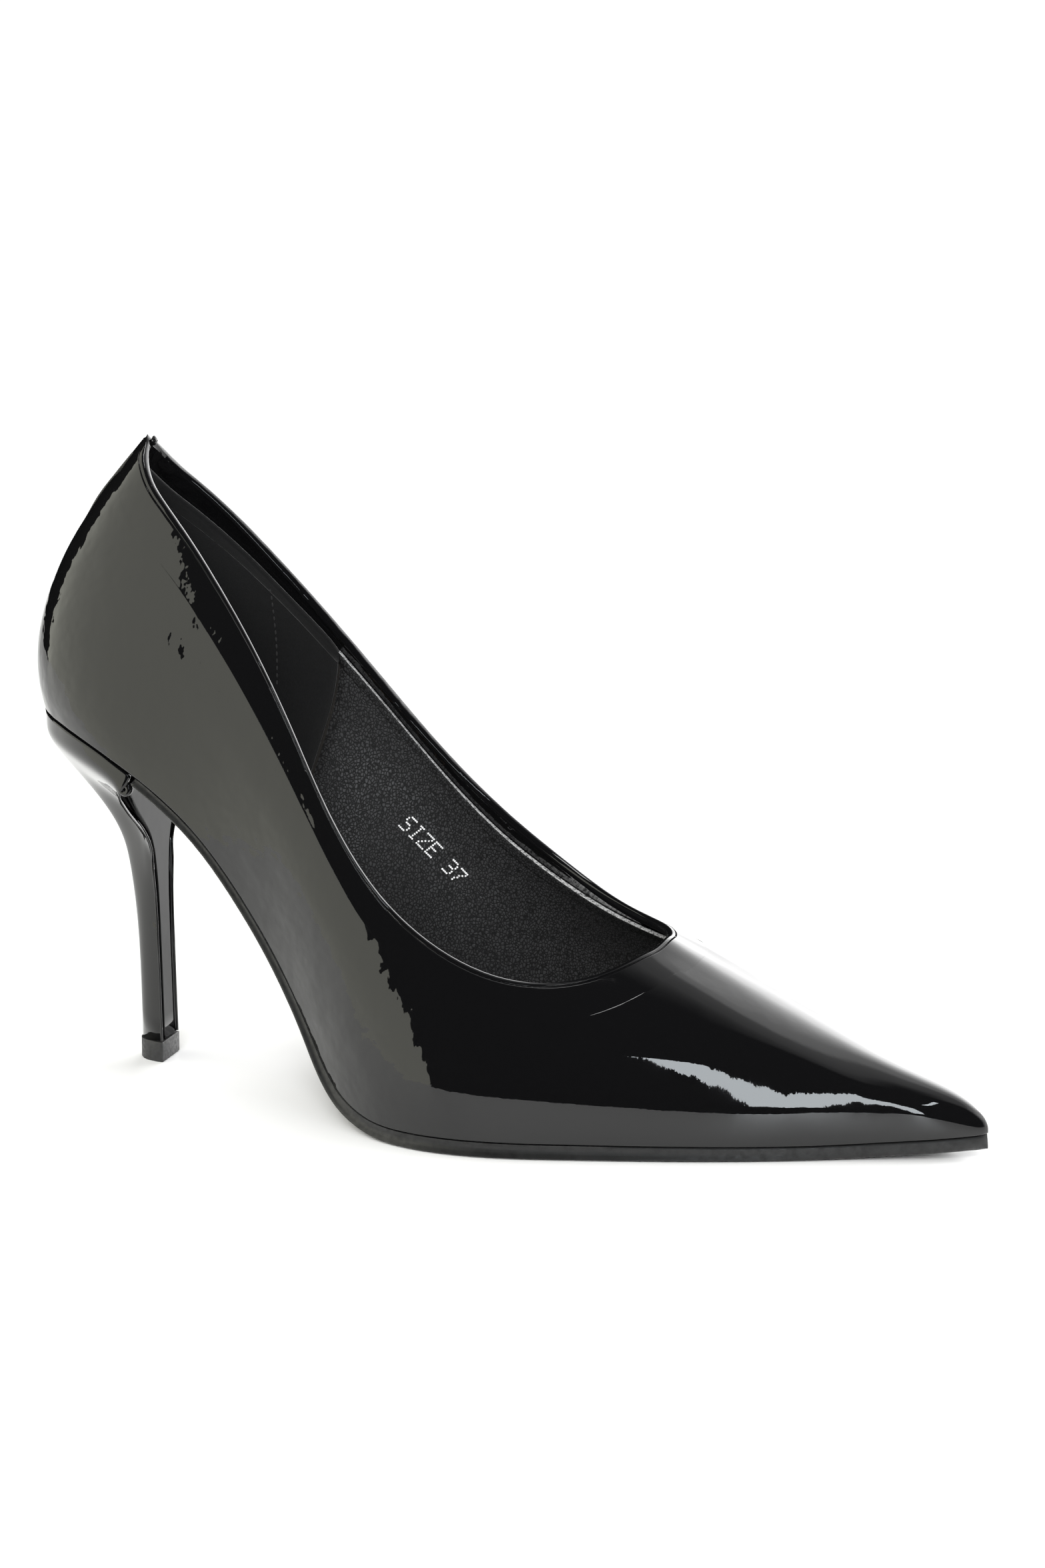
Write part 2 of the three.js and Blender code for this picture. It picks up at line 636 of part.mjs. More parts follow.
// A closed turned body about Z from pairs of radius and height.
function turned(pairs, sides) {
  const profilePoints = pairs.map(([radius, height]) => new THREE.Vector2(radius, height));
  const geometry = new THREE.LatheGeometry(profilePoints, sides).rotateX(Math.PI / 2);
  const bare = new THREE.BufferGeometry().setAttribute("position", geometry.getAttribute("position"));
  bare.setIndex(geometry.index);
  const merged = mergeVertices(bare, 1e-3);
  return bodyOf(pointsOf(merged), [...merged.index.array]);
}

function pointsOf(geometry) {
  const at = geometry.attributes.position;
  return Array.from({ length: at.count }, (_, i) => new THREE.Vector3().fromBufferAttribute(at, i));
}

const drum = (radius, sides, low = -CLEAR_THROUGH, high = CLEAR_THROUGH) =>
  turned([[0, low], [radius, low], [radius, high], [0, high]], sides);

function onBottom(geometry, x, y) {
  const slope = (bottom(x + 0.01) - bottom(x - 0.01)) / 0.02;
  return geometry.rotateY(-Math.atan(slope)).translate(x, y, bottom(x));
}

function solidOf(geometry) {
  return new wasm.Manifold(
    new wasm.Mesh({
      numProp: 3,
      vertProperties: new Float32Array(geometry.attributes.position.array),
      triVerts: new Uint32Array(geometry.index.array),
    }),
  );
}

function cut(geometry, cutters) {
  const drilled = cutters.reduce((body, cutter) => body.subtract(solidOf(cutter)), solidOf(geometry));
  const result = drilled.getMesh();
  const out = new THREE.BufferGeometry();
  out.setAttribute("position", new THREE.BufferAttribute(result.vertProperties, 3));
  out.setIndex([...result.triVerts]);
  return out;
}

// Height of a fastener's head top, sunk in the insole board where the board is lowest under it.
const headTop = (x, head) => offBottom(x + head.radius, 0, insoleHigh(x)).z - 0.2;

// A nail or screw with a short point and a flat head.
function fastener([x, y], shaftRadius, length, head, sides) {
  const top = headTop(x, head);
  const neck = top - head.height;
  const tip = top - length;
  const shaft = [[0, tip], [shaftRadius, tip + shaftRadius], [shaftRadius, neck]];
  const cap = [[head.radius, neck], [head.radius, top], [0, top]];
  return turned([...shaft, ...cap], sides).translate(x, y, 0);
}

function fastenerHole([x, y], shaftRadius, length, head, sides) {
  const top = headTop(x, head);
  const low = top - length - BORE_GAP;
  const narrow = shaftRadius + BORE_GAP;
  const wide = head.radius + BORE_GAP;
  const seat = top - head.height - BORE_GAP;
  const high = top + CLEAR_THROUGH;
  const outline = [[0, low], [narrow, low], [narrow, seat], [wide, seat], [wide, high], [0, high]];
  return turned(outline, sides).translate(x, y, 0);
}

const nailHole = (place) => fastenerHole(place, NAIL_RADIUS, NAIL_LENGTH, NAIL_HEAD, 10);
const screwHole = () => fastenerHole(screwPlace, SCREW_RADIUS, SCREW_LENGTH, SCREW_HEAD, 12);

function fasteners() {
  nailPlaces.forEach((place, i) => {
    addMesh("heel_nail_" + (i + 1), "steel", fastener(place, NAIL_RADIUS, NAIL_LENGTH, NAIL_HEAD, 10));
  });
  addMesh("heel_screw", "steel", fastener(screwPlace, SCREW_RADIUS, SCREW_LENGTH, SCREW_HEAD, 12));
}

function shankAndRivets() {
  const half = SHANK_WIDTH / 2;
  const between = STATIONS.filter((x) => x > shankEnds[0] + 3 && x < shankEnds[1] - 3);
  const xs = [shankEnds[0], ...between, shankEnds[1]];
  const rows = xs.map((x) => {
    const y = shankEnds.includes(x) ? half * 0.6 : half;
    return [new THREE.Vector2(x, shankY - y), new THREE.Vector2(x, shankY + y)];
  });
  const strip = plate(rows, shankLow, shankLow + SHANK_THICKNESS, 1);
  const holes = rivetPlaces.map((x) => onBottom(drum(RIVET_RADIUS + BORE_GAP, 12), x, shankY));
  addMesh("steel_shank", "steel", cut(strip, holes));
  rivetPlaces.forEach((x, i) => {
    const headLow = shankLow - 0.6;
    const headHigh = shankLow - 0.25;
    const high = shankBoardLow + SHANK_BOARD_THICKNESS * 0.9;
    const pairs = [[0, headLow], [RIVET_RADIUS + 1, headLow], [RIVET_RADIUS + 1, headHigh]];
    const rivet = turned([...pairs, [RIVET_RADIUS, headHigh], [RIVET_RADIUS, high], [0, high]], 12);
    addMesh(["shank_rivet_rear", "shank_rivet_front"][i], "steel", onBottom(rivet, x, shankY));
  });
}

// ---------------------------------------------------------------------------------------------
// Heel
// ---------------------------------------------------------------------------------------------

const seatDrop = -FIT_GAP - 0.2; // top of the heel, off the bottom sheet
const shaftFoot = TIP_HEIGHT + FIT_GAP;
const HEEL_BACK_FLARE = 60; // height over which the back sweeps from the seat into the shaft
const HEEL_SIDE_FLARE = 40;
const HEEL_BREAST_FLARE = 9;
const BREAST_LEAN = 0.022; // the breast comes back this much for each millimetre up
const shaftBreast = 28.9 * gradeX;
const flare = profile([
  [0, 1],
  [0.1, 0.98],
  [0.2, 0.83],
  [0.3, 0.62],
  [0.4, 0.38],
  [0.5, 0.19],
  [0.6, 0.1],
  [0.8, 0.03],
  [1, 0],
  [9, 0],
]);

const breastAt = (z) => shaftBreast - BREAST_LEAN * z;
const cornerKnots = [knotAtX(breastX, "outer"), knotAtX(breastX, "inner")];

// Seat point round the back, from the outer breast corner (a = 0) past the back (0.5) to the inner one (1).
function seatPoint(a) {
  const u = a < 0.5 ? lerp(cornerKnots[0], 0, a * 2) : lerp(turn, cornerKnots[1], a * 2 - 1);
  const p = outer(u, 0);
  return offBottom(p.x, p.y, seatDrop);
}

// Point on the outside of the heel: a runs round the back, level from the seat (0) to the shaft's foot (1).
function heelBack(a, level) {
  const seat = seatPoint(a);
  const z = lerp(seat.z, shaftFoot, level);
  const angle = (a - 0.5) * Math.PI;
  const fall = seat.z - z;
  const flareX = lerp(HEEL_BREAST_FLARE, HEEL_BACK_FLARE, Math.cos(angle));
  const shaftX = breastAt(z) - SHAFT_DEPTH * Math.cos(angle) ** 0.85;
  const shaftY = (SHAFT_WIDTH / 2) * Math.sign(Math.sin(angle)) * Math.abs(Math.sin(angle)) ** 0.85;
  return new THREE.Vector3(
    lerp(shaftX, seat.x, flare(fall / flareX)),
    lerp(shaftY, seat.y, flare(fall / HEEL_SIDE_FLARE)),
    z,
  );
}

// The same surface set in, level by level. The breast corners move straight across the heel.
function heelBackInset(a, level, inset) {
  const step = 0.004;
  const p = heelBack(a, level);
  if (inset === 0) return p;
  if (a === 0 || a === 1) {
    p.y += a === 0 ? inset : -inset;
    return p;
  }
  const along = heelBack(a + step, level).sub(heelBack(a - step, level));
  const outwards = new THREE.Vector2(along.y, -along.x).normalize();
  const centre = breastAt(p.z) - SHAFT_DEPTH / 2;
  const sign = outwards.x * (p.x - centre) + outwards.y * p.y < 0 ? -1 : 1;
  p.x -= sign * outwards.x * inset;
  p.y -= sign * outwards.y * inset;
  return p;
}

// Point on the breast between the two corners of a level.
function heelBreast(b, level, inset, sideInset) {
  const p = heelBackInset(0, level, sideInset).lerp(heelBackInset(1, level, sideInset), b);
  p.x -= inset;
  return p;
}

const LEVELS = [0, 0.03, 0.07, 0.12, 0.17, 0.22, 0.27, 0.33, 0.4, 0.5, 0.7, 1];
const BACK_COLUMNS = 16;

function heelCover() {
  const columns = spread(0, 1, BACK_COLUMNS);
  const skin = (point) => [
    ...LEVELS.map((level) => point(level, 0)),
    ...[...LEVELS].reverse().map((level) => point(level, COVER_THICKNESS)),
  ];
  const back = columns.map((a) => skin((level, inset) => heelBackInset(a, level, inset)));
  addMesh("heel_cover", "patent", loft(back, false));
  const sideInset = (level) => COVER_THICKNESS + FIT_GAP + 0.14 * Math.abs(heelBack(0, level).y);
  const breast = spread(0, 1, 4).map((b) =>
    skin((level, inset) => heelBreast(b, level, inset, sideInset(level))),
  );
  addMesh("heel_breast_cover", "patent", loft(breast, false));
}

function heelCore() {
  const inset = COVER_THICKNESS + 0.5;
  const sections = LEVELS.map((level) => {
    const back = spread(0, 1, BACK_COLUMNS).map((a) => heelBackInset(a, level, inset));
    const breast = spread(0, 1, 4).map((b) => heelBreast(b, level, inset, inset));
    back[0] = breast[0];
    back[BACK_COLUMNS] = breast[4];
    return [...back, ...breast.slice(1, 4).reverse()];
  });
  const core = closeWithFans(sections);
  const tubeHole = heelAxis(drum(TUBE_RADIUS + BORE_GAP, 12, -CLEAR_THROUGH, TUBE_LENGTH + BORE_GAP));
  addMesh("heel_core", "plastic", cut(core, [tubeHole, screwHole(), ...nailPlaces.map(nailHole)]));
}

// The side faces of a stack of rings.
function sidesOf(rings) {
  const count = rings[0].length;
  const corners = [];
  for (let i = 0; i < rings.length - 1; i++)
    for (let k = 0; k < count; k++) {
      const next = (k + 1) % count;
      const [a, b] = [i * count + k, i * count + next];
      corners.push(a, a + count, b + count, a, b + count, b);
    }
  return corners;
}

// A stack of rings closed at both ends by a fan about the ring's middle. The first ring is the heel's seat.
function closeWithFans(rings) {
  const count = rings[0].length;
  const points = rings.flat();
  const corners = sidesOf(rings);
  [0, rings.length - 1].forEach((end) => {
    const middle = rings[end].reduce((sum, p) => sum.add(p), new THREE.Vector3()).divideScalar(count);
    if (end === 0) middle.z = offBottom(middle.x, 0, seatDrop).z - SEAT_SAG;
    points.push(middle);
    for (let k = 0; k < count; k++) {
      const [a, b] = [end * count + k, end * count + ((k + 1) % count)];
      corners.push(...(end === 0 ? [points.length - 1, a, b] : [points.length - 1, b, a]));
    }
  });
  return bodyOf(points, corners);
}

// Moves a body drawn about Z, foot at 0, onto the leaning axis of the heel shaft.
const heelAxis = (geometry) =>
  geometry
    .rotateY(-Math.atan(BREAST_LEAN + 0.006))
    .translate(breastAt(shaftFoot) - SHAFT_DEPTH / 2, 0, shaftFoot);

function topPiece() {
  const half = SHAFT_WIDTH / 2 + TIP_OVERHANG;
  const depth = SHAFT_DEPTH + 2 * TIP_OVERHANG;
  const front = breastAt(TIP_HEIGHT) + TIP_OVERHANG;
  const arc = spread(-Math.PI / 2, Math.PI / 2, 14).map((angle) => {
    const side = Math.sin(angle);
    const y = half * Math.sign(side) * Math.abs(side) ** 0.85;
    return new THREE.Vector2(front - depth * Math.cos(angle) ** 0.85, y);
  });
  const rings = [0, 0.4, TIP_HEIGHT].map((z) =>
    arc.map((p) => {
      const shrink = z === 0 ? 0.95 : 1;
      const middle = front - depth / 2;
      return new THREE.Vector3(middle + (p.x - middle) * shrink, p.y * shrink, z);
    }),
  );
  const hole = heelAxis(drum(TUBE_BORE, 12, -PIN_DEPTH - FIT_GAP, CLEAR_THROUGH));
  addMesh("heel_top_piece", "tip", cut(closeFlat(rings), [hole]));
  addMesh("top_piece_pin", "steel", heelAxis(drum(TUBE_BORE - BORE_GAP, 12, -PIN_DEPTH, PIN_LENGTH)));
  const outside = [[TUBE_RADIUS, BORE_GAP], [TUBE_RADIUS, TUBE_LENGTH]];
  const inside = [[TUBE_BORE, TUBE_LENGTH], [TUBE_BORE, BORE_GAP]];
  addMesh("heel_tube", "steel", heelAxis(turned([...inside, ...outside, inside[0]], 12)));
}

// A stack of rings closed at both ends by a flat face.
function closeFlat(rings) {
  const count = rings[0].length;
  const corners = sidesOf(rings);
  [0, rings.length - 1].forEach((end) => {
    const base = end * count;
    for (let k = 1; k < count - 1; k++)
      corners.push(...(end === 0 ? [base, base + k, base + k + 1] : [base, base + k + 1, base + k]));
  });
  return bodyOf(rings.flat(), corners);
}

// ---------------------------------------------------------------------------------------------
// Assembly
// ---------------------------------------------------------------------------------------------

upper();
toplineBinding();
toplineTape();
stiffeners();
liningPiece("vamp_lining", "lining", roundToe(gripEnd + SEAM_GAP));
liningPiece("heel_grip", "suede", roundHeel(gripEnd));
outsole();
boards();
sockAndFoam();
bottomFiller();
shankAndRivets();
fasteners();
heelCover();
heelCore();
topPiece();

// The origin goes to the ground under the middle of the shoe.
const box = new THREE.Box3().setFromObject(shoe);
shoe.position.set(-(box.min.x + box.max.x) / 2, -(box.min.y + box.max.y) / 2, -box.min.z);

export default shoe;
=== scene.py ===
"""A black patent pump with a slim covered heel, for the right foot. Metres, +Z up, toe towards +X."""

import math

import bmesh
import bpy
from mathutils import Matrix, Quaternion, Vector
from mathutils.bvhtree import BVHTree
from mathutils.kdtree import KDTree


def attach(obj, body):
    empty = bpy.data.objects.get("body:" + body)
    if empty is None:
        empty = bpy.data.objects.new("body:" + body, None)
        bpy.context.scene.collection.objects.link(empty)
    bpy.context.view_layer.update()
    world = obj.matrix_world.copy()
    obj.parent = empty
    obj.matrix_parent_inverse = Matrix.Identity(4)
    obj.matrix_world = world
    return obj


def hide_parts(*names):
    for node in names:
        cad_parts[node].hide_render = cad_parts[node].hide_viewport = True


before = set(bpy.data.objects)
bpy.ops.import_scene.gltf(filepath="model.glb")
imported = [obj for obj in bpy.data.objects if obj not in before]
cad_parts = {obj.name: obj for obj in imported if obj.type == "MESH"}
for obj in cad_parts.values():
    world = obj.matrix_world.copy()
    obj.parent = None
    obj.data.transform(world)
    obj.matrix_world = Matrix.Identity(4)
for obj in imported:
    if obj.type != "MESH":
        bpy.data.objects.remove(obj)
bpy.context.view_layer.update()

MM = 0.001

# ---------------------------------------------------------------------------------------------
# Shoemaking helpers
# ---------------------------------------------------------------------------------------------


def select_only(piece):
    bpy.ops.object.select_all(action="DESELECT")
    piece.select_set(True)
    bpy.context.view_layer.objects.active = piece


def apply_modifier(piece, kind, **settings):
    select_only(piece)
    modifier = piece.modifiers.new(kind.title(), kind)
    for name, value in settings.items():
        setattr(modifier, name, value)
    bpy.ops.object.modifier_apply(modifier=modifier.name)


def merged_copy(node, name):
    """A copy of a CAD node with its doubled points merged and its flat triangle pairs joined to quads."""
    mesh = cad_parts[node].data.copy()
    mesh.name = name
    mesh.materials.clear()
    piece = bpy.data.objects.new(name, mesh)
    bpy.context.scene.collection.objects.link(piece)
    select_only(piece)
    bpy.ops.object.mode_set(mode="EDIT")
    bpy.ops.mesh.select_all(action="SELECT")
    bpy.ops.mesh.remove_doubles(threshold=0.01 * MM)
    bpy.ops.mesh.tris_convert_to_quads(
        face_threshold=math.radians(50), shape_threshold=math.radians(60), topology_influence=1.2
    )
    bpy.ops.object.mode_set(mode="OBJECT")
    return piece


def crease_corners(piece, corner_angle):
    """Keeps the edges that turn by more than the corner angle crisp when the piece is rounded."""
    work = bmesh.new()
    work.from_mesh(piece.data)
    crease = work.edges.layers.float.new("crease_edge")
    for edge in work.edges:
        if len(edge.link_faces) == 2 and edge.calc_face_angle(0) > math.radians(corner_angle):
            edge[crease] = 1.0
    work.to_mesh(piece.data)
    work.free()


def rounded_points(piece, count):
    """Where the first count points of a piece lie once it is rounded."""
    rounding = piece.modifiers.new("Rounding", "SUBSURF")
    rounding.levels = 1
    rounding.render_levels = 1
    graph = bpy.context.evaluated_depsgraph_get()
    graph.update()
    smooth = piece.evaluated_get(graph).data
    found = [smooth.vertices[i].co.copy() for i in range(count)]
    piece.modifiers.remove(rounding)
    return found


def rounded(piece, levels, corner_angle=50, passes=5):
    """Rounds a piece so that its surface still passes close to its own points."""
    crease_corners(piece, corner_angle)
    wanted = [v.co.copy() for v in piece.data.vertices]
    for _ in range(passes):
        reached = rounded_points(piece, len(wanted))
        for vertex, goal, point in zip(piece.data.vertices, wanted, reached):
            vertex.co += goal - point
        piece.data.update()
    apply_modifier(piece, "SUBSURF", levels=levels, render_levels=levels)
    shade(piece, corner_angle)
    return piece


def shade(piece, corner_angle=50):
    select_only(piece)
    bpy.ops.object.shade_smooth_by_angle(angle=math.radians(corner_angle), keep_sharp_edges=False)


def finish_piece(piece, material, slot, *nodes):
    piece.data.materials.clear()
    piece.data.materials.append(material)
    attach(piece, "root")
    if nodes:
        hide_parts(*nodes)


# ---------------------------------------------------------------------------------------------
# Finishes, all read in object coordinates, so that a size in metres is a real one
# ---------------------------------------------------------------------------------------------


class Finish:
    """One material while it is put together."""

    def __init__(self, name, colour, roughness, **constants):
        self.material = bpy.data.materials.new(name)
        self.material.use_nodes = True
        self.tree = self.material.node_tree
        self.shader = self.tree.nodes["Principled BSDF"]
        self.set_input("Base Color", (*colour, 1))
        self.set_input("Roughness", roughness)
        for socket, value in constants.items():
            self.set_input(socket.replace("_", " "), value)
        self.place = self.add("TexCoord").outputs["Object"]
        self.relief = None

    def set_input(self, socket, value):
        self.shader.inputs[socket].default_value = value

    def add(self, kind, **settings):
        node = self.tree.nodes.new("ShaderNode" + kind)
        for name, value in settings.items():
            setattr(node, name, value)
        return node

    def link(self, source, target):
        self.tree.links.new(source, target)

    def stretched(self, stretch):
        """The object coordinates, squeezed along each axis by a factor."""
        mapping = self.add("Mapping")
        mapping.inputs["Scale"].default_value = stretch
        self.link(self.place, mapping.inputs["Vector"])
        return mapping.outputs["Vector"]

    def noise(self, size, detail=2.0, place=None, lumpiness=0.5):
        """Clouds of a typical size."""
        node = self.add("TexNoise")
        node.inputs["Scale"].default_value = 1 / size
        node.inputs["Detail"].default_value = detail
        node.inputs["Roughness"].default_value = lumpiness
        self.link(place or self.place, node.inputs["Vector"])
        return node.outputs["Fac"]

    def cells(self, size, place=None):
        """Distance to the edge between cells of a typical size."""
        node = self.add("TexVoronoi", feature="DISTANCE_TO_EDGE")
        node.inputs["Scale"].default_value = 1 / size
        self.link(place or self.place, node.inputs["Vector"])
        return node.outputs["Distance"]

    def axis(self, name):
        parts = self.add("SeparateXYZ")
        self.link(self.place, parts.inputs[0])
        return parts.outputs[name]

    def ranged(self, value, low, high, to_low=0.0, to_high=1.0):
        """A value eased from one range to another, and held at its ends."""
        node = self.add("MapRange", interpolation_type="SMOOTHSTEP")
        limits = {"From Min": low, "From Max": high, "To Min": to_low, "To Max": to_high}
        for socket, number in limits.items():
            node.inputs[socket].default_value = number
        self.link(value, node.inputs["Value"])
        return node.outputs["Result"]

    def times(self, first, second):
        node = self.add("Math", operation="MULTIPLY")
        self.link(first, node.inputs[0])
        self.link(second, node.inputs[1])
        return node.outputs["Value"]

    def tint(self, factor, colour_low, colour_high):
        """Colour that goes from one to the other with the factor."""
        node = self.add("Mix", data_type="RGBA")
        node.inputs["A"].default_value = (*colour_low, 1)
        node.inputs["B"].default_value = (*colour_high, 1)
        self.link(factor, node.inputs["Factor"])
        self.link(node.outputs["Result"], self.shader.inputs["Base Color"])

    def gloss(self, factor, smoothest, roughest):
        self.link(self.ranged(factor, 0.3, 0.7, smoothest, roughest), self.shader.inputs["Roughness"])

    def raise_by(self, height, depth):
        """Relief of a depth in metres, on top of what is there."""
        node = self.add("Bump")
        node.inputs["Strength"].default_value = 1
        node.inputs["Distance"].default_value = depth
        self.link(height, node.inputs["Height"])
        if self.relief is not None:
            self.link(self.relief, node.inputs["Normal"])
        self.relief = node.outputs["Normal"]
        self.link(self.relief, self.shader.inputs["Normal"])


def patent(name, ripple=0.05, gloss_index=1.5):
    """Mirror gloss lacquer over black leather. It ripples more over the quarters than at the toe."""
    finish = Finish(name, (0.0035, 0.0035, 0.0038), 0.02, IOR=gloss_index)
    finish.gloss(finish.noise(9 * MM, 3), 0.012, 0.035)
    finish.raise_by(finish.noise(8 * MM, 1), ripple * MM)
    finish.raise_by(finish.noise(2.4 * MM, 3), 0.2 * ripple * MM)
    quarters = finish.ranged(finish.axis("X"), -0.012, 0.012, 1, 0)
    for size, depth in ((9 * MM, 8), (3.5 * MM, 1.6)):
        pulled = finish.times(finish.noise(size, 2), quarters)
        finish.raise_by(pulled, depth * ripple * MM)
    return finish.material


def lining_leather():
    """Coated lining with a pebbled grain."""
    finish = Finish("lining_leather", (0.016, 0.016, 0.0165), 0.42, IOR=1.5)
    warp = finish.noise(1.6 * MM, 3)
    shifted = finish.add("VectorMath", operation="MULTIPLY_ADD")
    finish.link(warp, shifted.inputs[0])
    shifted.inputs[1].default_value = (0.5 * MM, 0.5 * MM, 0.5 * MM)
    finish.link(finish.stretched((1.15, 1, 0.85)), shifted.inputs[2])
    pebbles = finish.ranged(finish.cells(0.72 * MM, place=shifted.outputs["Vector"]), 0.0, 0.26)
    finish.tint(pebbles, (0.008, 0.008, 0.008), (0.04, 0.04, 0.041))
    finish.gloss(pebbles, 0.6, 0.34)
    finish.raise_by(pebbles, 0.08 * MM)
    finish.raise_by(finish.noise(0.28 * MM, 2), 0.012 * MM)
    finish.raise_by(finish.noise(14 * MM, 2), 0.25 * MM)
    return finish.material


def suede():
    """Short napped microfibre."""
    finish = Finish("suede", (0.007, 0.007, 0.0072), 0.95, Sheen_Weight=0.25, Sheen_Roughness=0.45)
    nap = finish.noise(0.22 * MM, 4, finish.stretched((1, 1, 0.45)))
    finish.tint(nap, (0.003, 0.003, 0.003), (0.013, 0.013, 0.0135))
    finish.raise_by(nap, 0.06 * MM)
    finish.raise_by(finish.noise(6 * MM, 2), 0.2 * MM)
    return finish.material


def sole_rubber():
    """Moulded rubber with a satin face, mottled and finely pitted."""
    finish = Finish("sole_rubber", (0.013, 0.013, 0.0135), 0.42, IOR=1.5)
    patches = finish.noise(5 * MM, 4)
    finish.tint(patches, (0.005, 0.005, 0.005), (0.012, 0.012, 0.0125))
    finish.gloss(finish.noise(1.4 * MM, 5, lumpiness=0.7), 0.3, 0.62)
    finish.raise_by(finish.noise(0.5 * MM, 4), 0.03 * MM)
    return finish.material


def tip_plastic():
    """Moulded polyurethane of the top piece, dull from the mould."""
    finish = Finish("tip_plastic", (0.014, 0.014, 0.0145), 0.5)
    finish.tint(finish.noise(1.5 * MM, 4), (0.010, 0.010, 0.010), (0.021, 0.021, 0.022))
    finish.gloss(finish.noise(0.8 * MM, 3), 0.38, 0.6)
    finish.raise_by(finish.noise(0.35 * MM, 4), 0.02 * MM)
    return finish.material


def pressed_board():
    finish = Finish("pressed_board", (0.33, 0.22, 0.12), 0.85)
    fibres = finish.noise(0.5 * MM, 5, finish.stretched((0.35, 1, 1)))
    finish.tint(fibres, (0.22, 0.14, 0.075), (0.42, 0.3, 0.17))
    finish.raise_by(fibres, 0.05 * MM)
    return finish.material


def latex_foam():
    finish = Finish("latex_foam", (0.68, 0.63, 0.52), 0.95)
    pores = finish.ranged(finish.cells(0.45 * MM), 0.0, 0.2)
    finish.tint(pores, (0.42, 0.37, 0.28), (0.72, 0.67, 0.56))
    finish.raise_by(pores, 0.1 * MM)
    return finish.material


def stiff_felt():
    finish = Finish("stiff_felt", (0.03, 0.028, 0.026), 0.95)
    fibres = finish.noise(0.4 * MM, 6, lumpiness=0.7)
    finish.tint(fibres, (0.012, 0.011, 0.01), (0.05, 0.047, 0.043))
    finish.raise_by(fibres, 0.08 * MM)
    return finish.material


def woven_tape():
    finish = Finish("woven_tape", (0.68, 0.67, 0.62), 0.85)
    threads = []
    for direction in ("X", "Z"):
        wave = finish.add("TexWave", wave_type="BANDS", bands_direction=direction)
        wave.inputs["Scale"].default_value = 900
        finish.link(finish.place, wave.inputs["Vector"])
        threads.append(wave.outputs["Fac"])
    weave = finish.times(*threads)
    finish.tint(weave, (0.45, 0.44, 0.4), (0.74, 0.73, 0.68))
    finish.raise_by(weave, 0.05 * MM)
    return finish.material


def heel_plastic():
    finish = Finish("heel_plastic", (0.03, 0.03, 0.03), 0.45)
    finish.tint(finish.noise(8 * MM, 3), (0.018, 0.018, 0.018), (0.045, 0.044, 0.043))
    finish.raise_by(finish.noise(0.6 * MM, 3), 0.02 * MM)
    return finish.material


def bright_steel():
    finish = Finish("bright_steel", (0.5, 0.5, 0.52), 0.3, Metallic=1.0)
    drawn = finish.noise(0.5 * MM, 4, finish.stretched((1, 1, 0.1)))
    finish.tint(drawn, (0.4, 0.4, 0.42), (0.62, 0.62, 0.64))
    finish.gloss(drawn, 0.22, 0.42)
    finish.raise_by(drawn, 0.01 * MM)
    return finish.material


def sewing_thread(name, colour):
    finish = Finish(name, colour, 0.7)
    twist = finish.noise(0.25 * MM, 2)
    finish.tint(twist, tuple(0.55 * part for part in colour), colour)
    finish.raise_by(twist, 0.03 * MM)
    return finish.material


def raw_edge():
    """Cut edge of the lining, where the paler core shows through in places."""
    finish = Finish("raw_edge", (0.1, 0.1, 0.1), 0.8)
    fibres = finish.noise(0.5 * MM, 5, lumpiness=0.75)
    finish.tint(finish.ranged(fibres, 0.38, 0.55), (0.03, 0.03, 0.03), (0.55, 0.55, 0.55))
    finish.raise_by(fibres, 0.08 * MM)
    return finish.material


def foil_print():
    """Pale hot foil that has not taken everywhere."""
    finish = Finish("foil_print", (0.75, 0.75, 0.75), 0.5)
    patches = finish.noise(0.35 * MM, 3)
    finish.tint(finish.ranged(patches, 0.32, 0.42), (0.2, 0.2, 0.2), (0.95, 0.95, 0.95))
    finish.gloss(patches, 0.4, 0.65)
    return finish.material


finishes = {
    "patent": patent("black_patent"),
    "wrapped": patent("wrapped_patent", 0.006),
    "breast": patent("breast_patent", 0.01, 1.25),
    "raw": raw_edge(),
    "foil": foil_print(),
    "thread": sewing_thread("grip_thread", (0.05, 0.05, 0.05)),
    "lining": lining_leather(),
    "suede": suede(),
    "board": pressed_board(),
    "foam": latex_foam(),
    "felt": stiff_felt(),
    "tape": woven_tape(),
    "sole": sole_rubber(),
    "plastic": heel_plastic(),
    "tip": tip_plastic(),
    "steel": bright_steel(),
}

# ---------------------------------------------------------------------------------------------
# Pieces
# ---------------------------------------------------------------------------------------------

SKINS = {
    "upper": ("patent", "patent", 3),
    "topline_binding": ("patent", "patent", 2),
    "vamp_lining": ("lining", "lining", 2),
    "heel_grip": ("suede", "suede", 2),
    "outsole": ("sole", "sole", 2),
    "sock_lining": ("lining", "lining", 2),
    "heel_cover": ("patent", "wrapped", 2),
    "heel_breast_cover": ("patent", "breast", 2),
}


def fuller_toe(piece, middle=104 * MM, reach=13 * MM, rise=1.0 * MM):
    """The leather stands a little fuller over the toe puff than the draft's straight ribs give."""
    for vertex in piece.data.vertices:
        if vertex.co.z > 10 * MM:
            share = max(0.0, 1 - ((vertex.co.x - middle) / reach) ** 2)
            vertex.co.z += rise * share


pieces = {}
for node, (slot, finish, levels) in SKINS.items():
    copy = merged_copy(node, node + "_finished")
    if node == "upper":
        fuller_toe(copy)
    pieces[node] = rounded(copy, levels)
    finish_piece(pieces[node], finishes[finish], slot, node)


def points_near(points, others, reach):
    """Those of some points that lie within reach of one of the others."""
    tree = KDTree(len(others))
    for i, other in enumerate(others):
        tree.insert(other, i)
    tree.balance()
    return [point for point in points if tree.find(point)[2] < reach]


